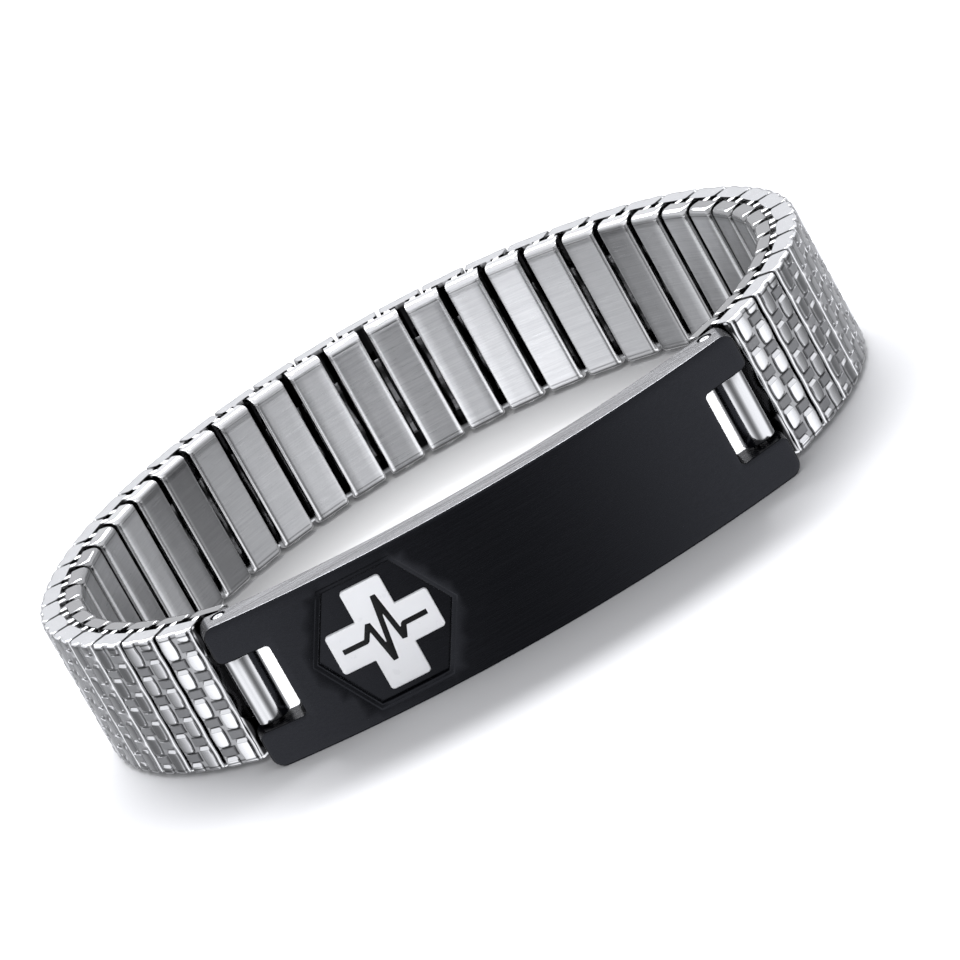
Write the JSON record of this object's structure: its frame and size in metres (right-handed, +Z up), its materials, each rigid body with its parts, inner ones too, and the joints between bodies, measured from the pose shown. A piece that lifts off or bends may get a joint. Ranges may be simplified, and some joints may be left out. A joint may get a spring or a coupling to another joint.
{
  "type": "medical alert bracelet",
  "caption": "Stretch wristband of embossed steel links closed by a bowed black identity plate with a cross emblem in a hexagonal recess.",
  "frame": {"origin": "middle of the bracelet's footprint, on the surface that its lower side edge rests on", "axes": "+X along the identity plate to the viewer's right, +Y from the plate to the far side of the band, +Z up along the wrist"},
  "size_m": [0.0678, 0.0612, 0.0126],
  "materials": {
    "black_plate": "satin black coating on brushed steel",
    "white_enamel": "hard white enamel",
    "black_enamel": "hard black enamel",
    "embossed_steel": "pressed and polished",
    "brushed_steel": "brushed along the band",
    "staple_steel": "bright drawn strip",
    "polished_steel": "polished"
  },
  "bodies": {
    "root": {"id_plate": "black_plate", "emblem_cross": "white_enamel", "pulse_line": "black_enamel", "end_connector_left": "polished_steel", "end_connector_right": "polished_steel", "pin_left": "polished_steel", "pin_right": "polished_steel", "inner_links": "brushed_steel", "link_staples": "staple_steel", "outer_link_01": "embossed_steel", "outer_link_02": "embossed_steel", "outer_link_03": "embossed_steel", "outer_link_04": "embossed_steel", "outer_link_05": "embossed_steel", "outer_link_06": "embossed_steel", "outer_link_07": "embossed_steel", "outer_link_08": "embossed_steel", "outer_link_09": "embossed_steel", "outer_link_10": "embossed_steel", "outer_link_11": "embossed_steel", "outer_link_12": "embossed_steel", "outer_link_13": "embossed_steel", "outer_link_14": "embossed_steel", "outer_link_15": "embossed_steel", "outer_link_16": "embossed_steel", "outer_link_17": "embossed_steel", "outer_link_18": "embossed_steel", "outer_link_19": "embossed_steel", "outer_link_20": "embossed_steel", "outer_link_21": "embossed_steel", "outer_link_22": "embossed_steel", "outer_link_23": "embossed_steel", "outer_link_24": "embossed_steel", "outer_link_25": "embossed_steel", "outer_link_26": "embossed_steel", "outer_link_27": "embossed_steel", "outer_link_28": "embossed_steel", "outer_link_29": "embossed_steel", "outer_link_30": "embossed_steel", "outer_link_31": "embossed_steel", "outer_link_32": "embossed_steel", "outer_link_33": "embossed_steel", "outer_link_34": "embossed_steel", "outer_link_35": "embossed_steel", "outer_link_36": "embossed_steel", "outer_link_37": "embossed_steel"}
  },
  "joints": []
}
